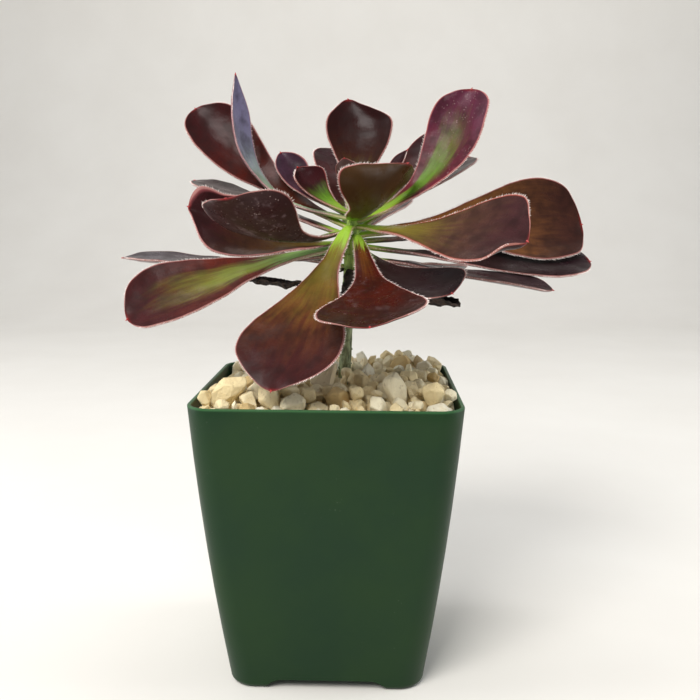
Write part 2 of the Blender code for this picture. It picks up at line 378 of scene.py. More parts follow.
def place_group(tree, group, **values):
    """Puts a group into a material and feeds its inputs by name."""
    made = tree.nodes.new("ShaderNodeGroup")
    made.node_tree = group
    for key, value in values.items():
        feed(tree, made.inputs[key.replace("_", " ")], value)
    return made.outputs


def rgb(red, green, blue):
    """A colour given as it looks on a screen, 0 to 255, turned into linear light."""
    linear = [
        v / 12.92 if v <= 0.04045 else ((v + 0.055) / 1.055) ** 2.4
        for v in (red / 255, green / 255, blue / 255)
    ]
    return (*linear, 1.0)


# %% [markdown]
# ## The table top and the light
#
# A plain pale sheet that curves up behind the object stands in for a table and a wall. The
# curve is what photographers call a sweep: it hides the corner between the two. The light
# is soft: a panel over the front, one on each side that draws a pale line down the pot's
# rounded corners, one that lights only the wall, and a dim sky that fills the shadows.

# %% Sweep
bpy.context.scene.view_settings.view_transform = "Standard"
deselect_all()
bpy.ops.mesh.primitive_plane_add(size=3.0, location=(0, 0, 0))
sweep = bpy.context.active_object
select_where(sweep, lambda p: p.y > 1.0)
bpy.ops.mesh.extrude_region_move(TRANSFORM_OT_translate={"value": (0, 0.0, 2.5)})
leave_edit()
apply_modifier(sweep, "BEVEL", width=0.6, segments=16, limit_method="ANGLE")
bpy.ops.object.shade_smooth()
settle(sweep, "sweep")
paper, tree, shader = new_finish("pale_paper", roughness=0.9)
tone = noise(tree, object_place(tree), 9.0, 4.0)
feed(tree, shader.inputs["Base Color"], mixed(tree, tone, rgb(228, 224, 217), rgb(238, 235, 229)))
sweep.data.materials.append(paper)
print("sweep", len(sweep.data.polygons), "faces")


# %% Lights
def panel(name, place, aim, size, power, colour):
    """A soft rectangular lamp that points at a spot."""
    lamp = bpy.data.lights.new(name, "AREA")
    lamp.shape = "RECTANGLE"
    lamp.size, lamp.size_y = size
    lamp.energy = power
    lamp.color = colour
    holder = bpy.data.objects.new(name, lamp)
    bpy.context.scene.collection.objects.link(holder)
    holder.location = place
    holder.rotation_euler = (Vector(aim) - Vector(place)).to_track_quat("-Z", "Y").to_euler()


middle = (0.0, 0.0, 0.13)
WARM, COOL, WHITE = (1.0, 0.98, 0.95), (0.94, 0.97, 1.0), (1.0, 1.0, 1.0)
panel("key_light", (-0.3, -0.65, 0.8), middle, (0.5, 0.5), 10.0, WARM)
panel("left_light", (-0.9, 0.0, 0.4), middle, (0.4, 0.8), 3.6, COOL)
panel("right_light", (0.9, 0.05, 0.4), middle, (0.4, 0.8), 3.6, COOL)
panel("wall_light", (0.0, 0.3, 1.5), (0.0, 1.3, 0.3), (1.2, 0.4), 9.0, WHITE)
sky = bpy.data.worlds.new("sky")
sky.use_nodes = True
glow = sky.node_tree.nodes["Background"].inputs
glow["Color"].default_value = (0.93, 0.96, 1.0, 1.0)
glow["Strength"].default_value = 0.3
bpy.context.scene.world = sky
print("four panels and a sky")

# %% [markdown]
# ## The pot
#
# The real pot is one thin plastic moulding: a tapered square whose corners have the same
# radius all the way up. Scaling one outline up the wall would scale its corners too, so
# each level gets an outline of its own: a plane whose four corners are rounded with a
# vertex bevel. Neighbouring outlines are then bridged into walls. Two outlines at exactly
# one height would be bridged inside out, so such pairs lie a few hundredths of a
# millimetre apart.

# %% Outlines up the wall
HEIGHT = pot_high.z
WALL = 1.3 * MM
CORNER = 9 * MM
FOOT = 3.5 * MM  # height of the feet
ROUND = 2.4 * MM  # rounding of the lower edge and of the arches
LIP = 0.4 * MM  # rounding of the rim
SLIT = 0.04 * MM  # between outlines that would share a height
DRAIN_RADIUS = 4 * MM
DRAIN_RING = 19 * MM
pot_spots = np.array([v.co for v in nodes["pot"].data.vertices]) - np.array(foot)
pot_levels = np.linspace(2.4 * MM, HEIGHT - LIP, 7)
pot_halves = [pot_spots[abs(pot_spots[:, 2] - z) < 2e-5, 0].max() for z in pot_levels]


def half_side(z):
    """Half the pot's outer width at a height, measured on the solid's own levels."""
    return float(np.interp(z, pot_levels, pot_halves))


def outline(z, inset, level=None):
    """A rounded square of edges at a height, moved in from the outer wall at a level."""
    deselect_all()
    half = half_side(z if level is None else level) - inset
    bpy.ops.mesh.primitive_plane_add(size=2 * half, location=foot + Vector((0, 0, z)))
    ring = bpy.context.active_object
    edit_all()
    bpy.ops.mesh.bevel(offset=max(CORNER - inset, 1 * MM), segments=10, affect="VERTICES")
    bpy.ops.mesh.select_all(action="SELECT")
    bpy.ops.mesh.delete(type="ONLY_FACE")
    leave_edit()
    return settle(ring, "ring")


print("half sides in mm:", [round(float(v) / MM, 2) for v in pot_halves])


# %% Feet, walls and rim, bridged level by level
def bridged(rings):
    """One shell from a row of outlines, each bridged to the next."""
    count = len(rings[0].data.vertices)
    shell = join(rings, "pot")
    for number in range(len(rings) - 1):
        start = number * count
        select_numbers(shell, range(start, start + 2 * count))
        bpy.ops.mesh.bridge_edge_loops()
        leave_edit()
    return shell


inside = FOOT + 1.6 * MM
quarter = [math.radians(15 * step) for step in range(6)]
rings = [outline(FOOT, 6.5 * MM, 0.0), outline(SLIT, 6.0 * MM, 0.0)]
rings += [outline(ROUND * (1 - math.cos(a)), ROUND * (1 - math.sin(a)), 0.0) for a in quarter]
rings += [outline(float(z), 0.0) for z in np.linspace(ROUND, HEIGHT - LIP, 24)]
rings += [outline(HEIGHT - 0.12 * MM, 0.12 * MM), outline(HEIGHT, LIP)]
rings += [outline(HEIGHT - 0.02 * MM, WALL - LIP)]
rings += [outline(HEIGHT - 0.14 * MM, WALL - 0.12 * MM)]
rings += [outline(float(z), WALL) for z in np.linspace(HEIGHT - LIP, inside + 2 * MM, 9)]
rings += [outline(inside + 0.6 * MM, WALL + 0.6 * MM), outline(inside, WALL + 2 * MM)]
pot = bridged(rings)
for level in (FOOT, inside):
    ends = [v.index for v in pot.data.vertices if abs(v.co.z - level) < 1e-6]
    select_numbers(pot, ends)
    bpy.ops.mesh.edge_face_add()
    leave_edit()
enter_edit()
point_outwards()
print("pot shell", len(pot.data.polygons), "faces")

# %% [markdown]
# ## Arches and drain holes
#
# Between its feet the pot is arched, so that water can run out from under it. An arch is a
# flattened bar pushed right through the base, and a drain hole is a short cylinder. Both
# are cut with Boolean modifiers. The bar is wider below than above and its top edges are
# bevelled, so that the arch's ends run out in a slope and a curve, as a mould needs.


# %% Cutting
def cut(piece, cutter):
    apply_modifier(piece, "BOOLEAN", operation="DIFFERENCE", object=cutter, solver="EXACT")
    bpy.data.objects.remove(cutter)
    print("after a cut:", len(piece.data.polygons), "faces")


BAR = 0.12  # long enough to pass through the pot
ARCH = 2 * (half_side(0.0) - 16 * MM)
for turn in (0.0, math.pi / 2):
    deselect_all()
    bpy.ops.mesh.primitive_cube_add(size=1.0, location=foot, rotation=(0, 0, turn))
    bar = bpy.context.active_object
    bar.scale = (BAR, ARCH, 2 * (FOOT - SLIT))
    settle(bar, "bar")
    select_where(bar, lambda p: p.z < 0)
    spread = 1 + 14 * MM / ARCH
    grow = (1, spread, 1) if turn == 0 else (spread, 1, 1)
    bpy.ops.transform.resize(value=grow, center_override=foot)
    pick_edges(bar, lambda a, b: (a - b).length > 0.99 * BAR and a.z > 0)
    bpy.ops.mesh.bevel(offset=ROUND, segments=6, affect="EDGES")
    leave_edit()
    cut(pot, bar)
holes = [(0.0, 0.0)]
for step in range(4):
    angle = math.radians(45 + 90 * step)
    holes.append((DRAIN_RING * math.cos(angle), DRAIN_RING * math.sin(angle)))
for x, y in holes:
    deselect_all()
    bpy.ops.mesh.primitive_cylinder_add(
        vertices=40, radius=DRAIN_RADIUS, depth=12 * MM, location=foot + Vector((x, y, FOOT))
    )
    cut(pot, bpy.context.active_object)
only(pot)
bpy.ops.object.shade_smooth_by_angle(angle=math.radians(32))
settle(pot, "pot_moulding")
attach(pot, "root")
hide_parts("pot")
print("pot", len(pot.data.polygons), "faces")

# %% [markdown]
# ## Green plastic
#
# Nursery pots are pressed from polypropylene with a satin skin: dark green, even, with a
# faint orange peel from the mould, cloudy patches where the polish varies, and pale dust.
# Colour, roughness and height each get a little noise. The rim is thin enough for light to
# come through it, so it is painted a shade brighter.

# %% The pot's finish
green, tree, shader = new_finish("satin_green", roughness=0.42)
shader.inputs["Specular IOR Level"].default_value = 0.22
place = object_place(tree)
clouds = noise(tree, place, 22.0, 4.0, 0.6)
peel = noise(tree, place, 900.0, 2.0)
rim = mask(tree, axes_of(tree, place)[2], HEIGHT - 1.0 * MM, HEIGHT - 0.2 * MM)
colour = mixed(tree, mask(tree, clouds, 0.3, 0.7), rgb(17, 47, 24), rgb(25, 53, 23))
colour = mixed(tree, rim, colour, rgb(50, 92, 54))
dust = mask(tree, cells(tree, place, 700.0), 0.13, 0.07)
dust = times(tree, dust, mask(tree, noise(tree, place, 60.0), 0.58, 0.75))
colour = mixed(tree, times(tree, dust, 0.35), colour, rgb(160, 165, 150))
feed(tree, shader.inputs["Roughness"], mask(tree, clouds, 0.2, 0.8, 0.36, 0.5))
paint(tree, shader, colour, bump(tree, peel, 0.04 * MM, 0.5))
pot.data.materials.append(green)
print("finish", green.name)

# %% [markdown]
# ## The potting mix
#
# The mix is hidden but for what shows through the drain holes, so its solid stays as it is
# and only gets a finish: dark crumbs of peat with a few paler bits of bark.

# %% Potting mix
peat, tree, shader = new_finish("damp_peat", roughness=0.95)
place = object_place(tree)
crumb = cells(tree, place, 700.0)
bits = mask(tree, noise(tree, place, 350.0, 2.0), 0.6, 0.68)
colour = mixed(tree, crumb, rgb(26, 19, 14), rgb(62, 46, 34))
paint(tree, shader, mixed(tree, bits, colour, rgb(120, 92, 62)), bump(tree, crumb, 1.2 * MM))
mix_block = nodes["potting_mix"]
mix_block.data.materials.clear()
mix_block.data.materials.append(peat)
print("finish", peat.name)

# %% [markdown]
# ## Gravel: the stones
#
# The dressing is crushed cream stone. Crushing breaks a stone along flat faces, so each
# master stone starts as a round icosphere, is squeezed, and loses slices to a few bisect
# cuts that are filled flat. A light bevel, given to it once the stones are packed, wears
# its edges. Seven masters, turned and scaled at random, are enough to hide that they
# repeat.

# %% Master stones
chance = random.Random(21)


def crushed_stone(number, sides, slices):
    """A stone about 1 unit across, squeezed to these sides and sliced flat."""
    deselect_all()
    bpy.ops.mesh.primitive_ico_sphere_add(subdivisions=1, radius=0.55)
    stone = bpy.context.active_object
    stone.scale = sides
    stone.rotation_euler = [chance.uniform(0, 6.28) for _ in range(3)]
    settle(stone, f"stone_{number}")
    for _ in range(slices):
        way = Vector([chance.gauss(0, 1) for _ in range(3)]).normalized()
        reach = max(v.co.dot(way) for v in stone.data.vertices)
        edit_all()
        point = way * reach * chance.uniform(0.55, 0.78)
        bpy.ops.mesh.bisect(plane_co=point, plane_no=way, use_fill=True, clear_outer=True)
        leave_edit()
    edit_all()
    bpy.ops.mesh.remove_doubles(threshold=0.07)
    bpy.ops.mesh.dissolve_limited(angle_limit=math.radians(12))
    bpy.ops.mesh.convex_hull()
    bpy.ops.mesh.dissolve_limited(angle_limit=math.radians(20))
    point_outwards()
    return stone


WIDTHS = (0.85, 0.72, 0.9, 0.6, 0.9, 0.62, 0.85)
THICKNESSES = (0.75, 0.66, 0.6, 0.36, 0.85, 0.55, 0.36)
SLICES = (5, 5, 6, 5, 6, 5, 6)
masters = []
for width, thickness, slices in zip(WIDTHS, THICKNESSES, SLICES):
    masters.append(crushed_stone(len(masters), (1.0, width, thickness), slices))
print("stones:", [len(s.data.polygons) for s in masters], "faces")

# %% [markdown]
# ## Gravel: filling the pot
#
# A rigid-body simulation could tip the stones in, but where they come to rest can't be
# steered, and the heap has to rise towards the back right and stay low in the corners. So
# the stones are dropped one by one onto a height map: a grid that remembers how high the
# heap is at each spot. A stone tries several places, rests on the highest spot under it,
# and takes the place that fits the wanted surface best. Convex stones make this easy: the
# underside at a spot is the highest of the planes that face down.

# %% The heap's wanted surface
STEP = 0.5 * MM  # spacing of the grid
MARGIN = 9 * MM  # grid beyond the pot's wall
SINK = 0.3 * MM  # how far a stone settles between those below
PROUD = 1.5 * MM  # how far a stone may stand above the wanted surface
BED, WALL_TOP = 92.0 * MM, 1.0  # heights of the map inside the pot and outside it
gravel_low, gravel_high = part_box("gravel")
reach = (gravel_high.x - gravel_low.x) / 2 + 0.3 * MM
grid = np.arange(-reach - MARGIN, reach + MARGIN, STEP)
gx, gy = np.meshgrid(grid, grid, indexing="ij")
stem_spots = np.array([v.co for v in nodes["stem"].data.vertices])


def stem_at(z):
    """The stem's middle at a height, from the solid's vertices nearby."""
    near = stem_spots[abs(stem_spots[:, 2] - z) < 3.5 * MM]
    return Vector((*((near.min(0) + near.max(0)) / 2)[:2], z))


stem_foot = stem_at(100 * MM) - foot
corner = CORNER - WALL
past_x, past_y = abs(gx) - (reach - corner), abs(gy) - (reach - corner)
in_pot = (abs(gx) < reach) & (abs(gy) < reach)
in_pot &= (past_x < 0) | (past_y < 0) | (np.hypot(past_x, past_y) < corner)
in_pot &= np.hypot(gx - stem_foot.x, gy - stem_foot.y) > 2.4 * MM
edge = np.clip(np.minimum(reach - abs(gx), reach - abs(gy)) / (12 * MM), 0, 1)
wanted = 101.0 * MM + 4.5 * MM * edge
for x, y, size, rise in ((30, 22, 15, 2.5), (-42, 14, 13, -4.0), (40, -20, 12, 1.0)):
    away = np.hypot(gx - x * MM, gy - y * MM)
    wanted += rise * MM * np.exp(-(away**2) / (2 * (size * MM) ** 2))
heap = np.where(in_pot, BED, WALL_TOP)
print("pot mouth", round(2 * reach / MM, 1), "mm across;", int(in_pot.sum()), "spots")


# %% The two sides of a stone
def planes_of(mesh, turn, size):
    """The stone's face planes after turning and scaling: normals and offsets."""
    turned = np.array(turn)
    normals = np.array([f.normal for f in mesh.polygons]) @ turned.T
    spots = np.array([f.center for f in mesh.polygons]) @ turned.T * size
    return normals, (normals * spots).sum(axis=1)


def underside(planes, low, xs, ys):
    """Heights of the stone's under or upper side over grid spots round its middle."""
    normals, offsets = planes
    keep = normals[:, 2] < -0.02 if low else normals[:, 2] > 0.02
    n, d = normals[keep], offsets[keep]
    z = (d - xs[..., None] * n[:, 0] - ys[..., None] * n[:, 1]) / n[:, 2]
    return z.max(axis=-1) if low else z.min(axis=-1)


# %% The resting place of one stone
def drop(master, turn, size, tries, at=None):
    """The best resting place for a stone: returns the place, or None if nothing fits."""
    planes = planes_of(masters[master].data, turn, size)
    half = int(size * 0.62 / STEP) + 1
    span = np.arange(-half, half + 1) * STEP
    xs, ys = np.meshgrid(span, span, indexing="ij")
    low, high = underside(planes, True, xs, ys), underside(planes, False, xs, ys)
    body = low < high
    best = None
    for _ in range(tries):
        i = chance.randrange(half, len(grid) - half)
        j = chance.randrange(half, len(grid) - half)
        if at:
            i, j = (int(round((value * MM - grid[0]) / STEP)) for value in at)
        under = heap[i - half : i + half + 1, j - half : j + half + 1]
        rest = (under - low)[body].max() - SINK
        if rest > WALL_TOP / 2:
            continue
        over = rest + high[body].max() - wanted[i, j]
        if (over < PROUD or at) and (best is None or rest - wanted[i, j] < best[0]):
            best = (rest - wanted[i, j], i, j, rest)
    if best is None:
        return None
    _, i, j, rest = best
    under = heap[i - half : i + half + 1, j - half : j + half + 1]
    under[body] = np.maximum(under[body], (rest + high)[body])
    return foot + Vector((grid[i], grid[j], rest))


# %% Laying the stones
def random_turn(lean=0.5):
    """Stones lie mostly flat: any heading, a moderate lean."""
    heading = Matrix.Rotation(chance.uniform(0, 6.28), 3, "Z")
    tip = Matrix.Rotation(chance.gauss(0, lean), 3, "X")
    tip = tip @ Matrix.Rotation(chance.gauss(0, lean), 3, "Y")
    flip = Matrix.Rotation(chance.choice((0, math.pi)), 3, "X")
    return tip @ heading @ flip


placed = {number: [] for number in range(len(masters))}


def lay(number, turn, size, tries, at=None):
    """Drops one stone and notes its place."""
    spot = drop(number, turn, size * MM, tries, at)
    if spot:
        whole = Matrix.Translation(spot) @ (turn.to_4x4() @ Matrix.Scale(size * MM, 4))
        placed[number].append(whole)


def lay_all(sizes, tries):
    """Drops stones of these sizes in mm, each from a random master at a random turn."""
    for size in sizes:
        lay(chance.randrange(len(masters)), random_turn(), size, tries)


sizes = [chance.uniform(8.5, 12) for _ in range(90)]
sizes += [chance.uniform(6.5, 9) for _ in range(90)]
lay_all(sizes, 60)
slab = Matrix.Rotation(0.35, 3, "X") @ Matrix.Rotation(0.5, 3, "Z")
wedge = Matrix.Rotation(0.25, 3, "Y") @ Matrix.Rotation(0.4, 3, "Z")
lay(6, slab, 15.0, 1, (-1.0, -17.0))
lay(3, wedge, 17.0, 1, (-32.0, -33.0))
by_the_rim = ((2, 13.0, (22.0, -29.0)), (0, 11.0, (-18.0, -34.0)), (1, 11.0, (34.0, -33.0)))
for number, size, at in by_the_rim:
    lay(number, random_turn(0.3), size, 1, at)
lay_all([chance.uniform(8, 13) for _ in range(90)], 60)
lay_all([chance.uniform(3.4, 7) for _ in range(260)], 40)
print("stones laid:", sum(map(len, placed.values())))

# %% One piece of gravel
beds = []
for number, master in enumerate(masters):
    apply_modifier(master, "BEVEL", width=0.03, segments=1, limit_method="NONE")
    shades = np.array([chance.random() for _ in placed[number]])
    beds.append(many(master, placed[number], f"bed_{number}", shades))
    bpy.data.objects.remove(master)
gravel = join(beds, "gravel_stones")
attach(gravel, "root")
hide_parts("gravel")
print("gravel", len(gravel.data.polygons), "faces")

# %% [markdown]
# ## Cream stone
#
# Each stone carries its own shade number, so the finish can run from near white through
# cream to ochre and grey, with no two neighbours alike. Fine pits and grains come from
# noise in the bump, and the hollows of the bump are darkened with painted shade.

# %% The gravel's finish
cream, tree, shader = new_finish("crushed_cream_stone", roughness=0.9)
place = object_place(tree)
shade = attribute(tree, "shade")
pits = noise(tree, place, 520.0, 6.0, 0.65)
patches = noise(tree, place, 160.0, 3.0)
colour = mixed(tree, mask(tree, shade, 0.0, 0.6), rgb(248, 238, 206), rgb(236, 216, 168))
colour = mixed(tree, mask(tree, shade, 0.8, 0.86), colour, rgb(234, 228, 206))
colour = mixed(tree, mask(tree, shade, 0.93, 0.96), colour, rgb(214, 184, 128))
colour = mixed(tree, mask(tree, patches, 0.5, 0.72, 0.0, 0.45), colour, rgb(214, 190, 138))
# Painted shade: the low points of the pits noise, the bump's hollows, are darkened towards a
# brown grey
colour = mixed(tree, mask(tree, pits, 0.44, 0.3, 0.0, 0.5), colour, rgb(172, 148, 104))
paint(tree, shader, colour, bump(tree, pits, 0.7 * MM))
gravel.data.materials.append(cream)
print("finish", cream.name)

# %% Fines under the stones
deselect_all()
bpy.ops.mesh.primitive_grid_add(x_subdivisions=60, y_subdivisions=60, size=2 * (reach - 0.8 * MM))
fines = bpy.context.active_object
fines.location = foot + Vector((0, 0, 93.0 * MM))
settle(fines, "gravel_fines")
lumps = bpy.data.textures.new("lumps", "CLOUDS")
lumps.noise_scale = 0.004
apply_modifier(fines, "DISPLACE", texture=lumps, strength=2.5 * MM, texture_coords="GLOBAL")
select_where(fines, lambda p: (p - foot).xy.length > 1.28 * reach)
bpy.ops.mesh.delete(type="VERT")
leave_edit()
bpy.ops.object.shade_smooth()
fines.data.materials.append(cream)
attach(fines, "root")
print("fines", len(fines.data.polygons), "faces")

# %% [markdown]
# ## The stem
#
# The bare stem is what the plant grew through before: every leaf that fell left a scar, a
# shallow raised crescent, in the spiral order that leaves are set in. The stem starts as a
# circle that is extruded up the solid's own middle line, ring by ring, and resized to
# match. One scar is modelled and copied up the spiral by the golden angle.

# %% The bark tube
levels = [float(z) for z in np.linspace(84 * MM, 161 * MM, 40)]


def stem_radius(z):
    """The stem's radius at a height: the middle distance of the solid's points nearby."""
    near = stem_spots[abs(stem_spots[:, 2] - z) < 3.5 * MM]
    away = np.hypot(near[:, 0] - stem_at(z).x, near[:, 1] - stem_at(z).y)
    return float(np.median(away))


deselect_all()
bpy.ops.mesh.primitive_circle_add(
    vertices=20, radius=stem_radius(levels[0]), fill_type="NGON", location=stem_at(levels[0])
)
stem = settle(bpy.context.active_object, "stem_bark")
edit_all()
for below, level in zip(levels, levels[1:]):
    step = stem_at(level) - stem_at(below)
    grow = stem_radius(level) / stem_radius(below) * chance.uniform(0.985, 1.015)
    bpy.ops.mesh.extrude_region_move(TRANSFORM_OT_translate={"value": step})
    bpy.ops.transform.resize(value=(grow, grow, 1), center_override=stem_at(level))
point_outwards()
print("stem", len(stem.data.polygons), "faces, radius", round(stem_radius(0.12) / MM, 2))

# %% Leaf scars up the spiral
deselect_all()
bpy.ops.mesh.primitive_uv_sphere_add(segments=10, ring_count=6, radius=0.5)
scar = bpy.context.active_object
scar.scale = (1.0, 0.36, 0.34)
settle(scar, "scar")
bpy.ops.object.shade_smooth()
GOLDEN = math.radians(137.5)
UP = Vector((0, 0, 1))
places, angle = [], 0.0
for z in np.arange(100 * MM, 150 * MM, 1.7 * MM):
    angle += GOLDEN
    way = Vector((math.cos(angle), math.sin(angle), 0))
    spot = stem_at(z) + way * stem_radius(z) * 0.97
    turn = Matrix((UP.cross(way), UP, way)).transposed()
    size = chance.uniform(2.0, 2.9) * MM
    places.append(Matrix.Translation(spot) @ (turn * size).to_4x4())
scars = many(scar, places, "scars")
bpy.data.objects.remove(scar)
only(stem)
bpy.ops.object.shade_smooth()
stem = join([stem, scars], "stem_bark")
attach(stem, "root")
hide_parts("stem")
print("scars", len(places))

# %% [markdown]
# ## Bark
#
# Near the gravel the stem is grey and corky, and it turns green towards the crown, where it
# is still young. Object height drives the change, and stretched noise gives the fine
# lengthwise cracks.

# %% The stem's finish
bark, tree, shader = new_finish("young_bark", roughness=0.75)
place = object_place(tree)
x, y, z = axes_of(tree, place)
thin = vector_of(tree, x, y, times(tree, z, 0.25))
cracks = noise(tree, thin, 900.0, 5.0, 0.6)
open_share = mask(tree, cracks, 0.35, 0.65)
old = mixed(tree, open_share, rgb(92, 98, 68), rgb(166, 176, 134))
fresh = mixed(tree, open_share, rgb(120, 148, 70), rgb(160, 184, 82))
rise = mask(tree, z, 122 * MM, 150 * MM)
paint(tree, shader, mixed(tree, rise, old, fresh), bump(tree, cracks, 0.25 * MM))
stem.data.materials.append(bark)
print("finish", bark.name)

# %% [markdown]
# ## Leaves: reading the solid back
#
# A leaf's solid is a skin over ten rings of ten points that ends in one tip point. The
# rings are a good cage for a Subdivision Surface, once they are known again: a merged copy
# has its points in no useful order. The tip is the only point with ten neighbours. From
# there each ring is the next layer of neighbours, and walking along the edges that border
# two layers gives the ring's own order. The leaf's two margins are where the ring is
# thinnest, and the upper face is the one that looks up and in, towards the stem.

# %% The rings of a leaf
WIDEST = 7  # the ring that is aligned first, near the widest part
STATIONS = (0.0, 0.14, 0.28, 0.42, 0.55, 0.67, 0.78, 0.87, 0.94, 0.98)
ACROSS = (-1.0, -0.55, 0.0, 0.55, 1.0, 1.0, 0.55, 0.0, -0.55, -1.0)


def ring_numbers(mesh):
    """The numbers of the leaf's vertices, ring by ring from root to tip, and the tip's."""
    near = [set() for _ in mesh.vertices]
    for edge in mesh.edges:
        a, b = edge.vertices
        near[a].add(b)
        near[b].add(a)
    tip = max(range(len(near)), key=lambda i: len(near[i]))
    layers, seen = [near[tip]], near[tip] | {tip}
    while len(layers) < len(STATIONS):
        outer = set().union(*(near[i] for i in layers[-1])) - seen
        seen |= outer
        layers.append(outer)
    layer_of = {i: k for k, layer in enumerate(layers) for i in layer}
    layer_of[tip] = -1
    beside = {i: set() for i in layer_of}
    for face in mesh.polygons:
        corners = list(face.vertices)
        for a, b, c in (corners, corners[1:] + corners[:1], corners[2:] + corners[:2]):
            if layer_of[a] == layer_of[b] != layer_of[c]:
                beside[a].add(b)
                beside[b].add(a)
    rings = []
    for layer in layers:
        ring = [min(layer)]
        while len(ring) < len(layer):
            ring.append(next(i for i in beside[ring[-1]] if i not in ring))
        rings.append(ring)
    return rings[::-1], tip


# %% Rings that start at the same margin
def aligned(spots, rings, tip):
    """Turns every ring to start at the same margin of the upper face."""
    middles = [spots[ring].mean(axis=0) for ring in rings]
    chord = spots[tip] - middles[0]
    left = np.array([-chord[1], chord[0], 0.0])
    over = np.cross(chord, left)
    wide = rings[WIDEST]
    steps = [np.linalg.norm(spots[wide[i]] - spots[wide[i - 1]]) for i in range(10)]
    start = min(range(5), key=lambda k: steps[k] + steps[k + 5])
    for first in (start, start + 5):
        order = wide[first:] + wide[:first]
        side = spots[order[4]] - spots[order[0]]
        upper = spots[order[2]] - spots[order[7]]
        if upper @ over < 0:
            continue
        if side @ left < 0:
            order = [order[i] for i in (4, 3, 2, 1, 0, 9, 8, 7, 6, 5)]
        wide = order
        break
    done = {WIDEST: wide}
    for number in (8, 9, 6, 5, 4, 3, 2, 1, 0):
        guide = done[number - 1 if number > WIDEST else number + 1]
        ring, shift = rings[number], middles[number] - spots[guide].mean(axis=0)
        options = [ring[k:] + ring[:k] for k in range(10)]
        options += [option[::-1] for option in options]
        done[number] = min(
            options, key=lambda o: np.linalg.norm(spots[o] - spots[guide] - shift, axis=1).sum()
        )
    return [done[number] for number in range(10)]


sample = merged_copy("leaf_front_drooping", "sample")
print("front leaf: rings of", [len(ring) for ring in ring_numbers(sample.data)[0]])
bpy.data.objects.remove(sample)

# %% [markdown]
# ## Leaves: from cage to blade
#
# The copy is cleaned first: the diagonals that split its rings into triangles are
# dissolved, so that it is all four-sided faces. The margins are creased, which keeps them
# thin and crisp while the rest is smoothed. The stalk's end ring is extruded into the stem,
# because a real leaf grows out of it. The last rings are drawn in and the tip pulled out to
# the short point that each leaf ends in. On two leaves a margin is also folded up near the
# tip. A weak cloud texture makes the blade undulate. Four measures are stored on the
# vertices for the finish to read: how far along the leaf, how far across it, which face,
# and how many millimetres from the margin.


# %% Cage, measures and smooth blade
MEASURES = ("Along", "Across", "Under", "Margin")
WAVE = 1.4 * MM
CREASE = 0.75
ROOTED = 0.75  # how far the stalk reaches in towards the stem's middle


def clouds_texture(name, scale):
    made = bpy.data.textures.new(name, "CLOUDS")
    made.noise_scale = scale
    made.cloud_type = "COLOR"
    return made


swell = clouds_texture("swell", 0.016)


def crumpled(blade, texture, strength):
    """Moves the vertices by a cloud texture in all three directions."""
    settings = dict(texture=texture, strength=strength, mid_level=0.5)
    apply_modifier(blade, "DISPLACE", direction="RGB_TO_XYZ", **settings)


def select_pairs(piece, test):
    """Selects edges by the numbers of their two ends, and stays in edit mode."""
    pick_edges(piece, lambda a, b: False)
    leave_edit()
    for edge in piece.data.edges:
        edge.select = test(frozenset(edge.vertices))
    enter_edit()


def cage_edges(rings, tip):
    """The edges to keep, as pairs of numbers, and those of them that run along a margin."""
    lengthwise = {frozenset(p) for low, high in zip(rings, rings[1:]) for p in zip(low, high)}
    lines = {frozenset(pair) for ring in rings for pair in zip(ring, ring[1:] + ring[:1])}
    lines |= lengthwise | {frozenset((i, tip)) for i in rings[-1]}
    rims = {ring[i] for ring in rings for i in (0, 4, 5, 9)}
    return lines, {pair for pair in lengthwise if pair <= rims}


def store_measures(mesh, spots, rings, tip):
    """Stores how far along and across each vertex is, its face, and mm from the margin."""
    values = {title: np.zeros(len(spots), np.float32) for title in MEASURES}
    for station, ring in zip(STATIONS, rings):
        half = np.linalg.norm(spots[ring[4]] - spots[ring[0]]) / 2
        values["Along"][ring] = station
        values["Across"][ring] = ACROSS
        values["Under"][ring] = [0.0] * 5 + [1.0] * 5
        values["Margin"][ring] = [(1 - abs(t)) * half / MM for t in ACROSS]
    values["Along"][tip], values["Under"][tip] = 1.0, 0.5
    for title, found in values.items():
        layer = mesh.attributes.new(title.lower(), "FLOAT", "POINT")
        layer.data.foreach_set("value", found)


# %% The tip
def shape_tip(blade, spots, rings, tip, lean, point, taper, peak, tuck):
    """Leans, draws out and folds the end of a leaf.

    lean moves the tip to one margin, as a share of half the width, point is how many mm it
    is drawn out, taper how far the last ring is drawn in, and peak and tuck how many mm
    the upper and the lower margin rise near the tip.
    """
    wide = rings[WIDEST]
    half_width = Vector(spots[wide[4]] - spots[wide[0]]) / 2
    ahead = (Vector(spots[tip]) - Vector(spots[wide].mean(axis=0))).normalized()
    steps = (
        (rings[8], 0.35, 0.0, (1 + taper) / 2),
        (rings[9], 0.8, 0.2, taper),
        ([tip], 1.0, 1.0, 1.0),
    )
    for numbers, share, out, shrink in steps:
        select_numbers(blade, numbers)
        centre = Vector(spots[numbers].mean(axis=0))
        bpy.ops.transform.resize(value=[shrink] * 3, center_override=centre)
        move = half_width * share * lean + ahead * out * point * MM
        bpy.ops.transform.translate(value=move)
        leave_edit()
    for ring, share in ((rings[8], 0.7), (rings[9], 1.0)):
        edges = ((ring[0], ring[9]), (ring[4], ring[5]))
        for edge, rise in zip(sorted(edges, key=lambda e: spots[e[0]][2]), (tuck, peak)):
            select_numbers(blade, edge)
            bpy.ops.transform.translate(value=(0, 0, rise * share * MM))
            leave_edit()


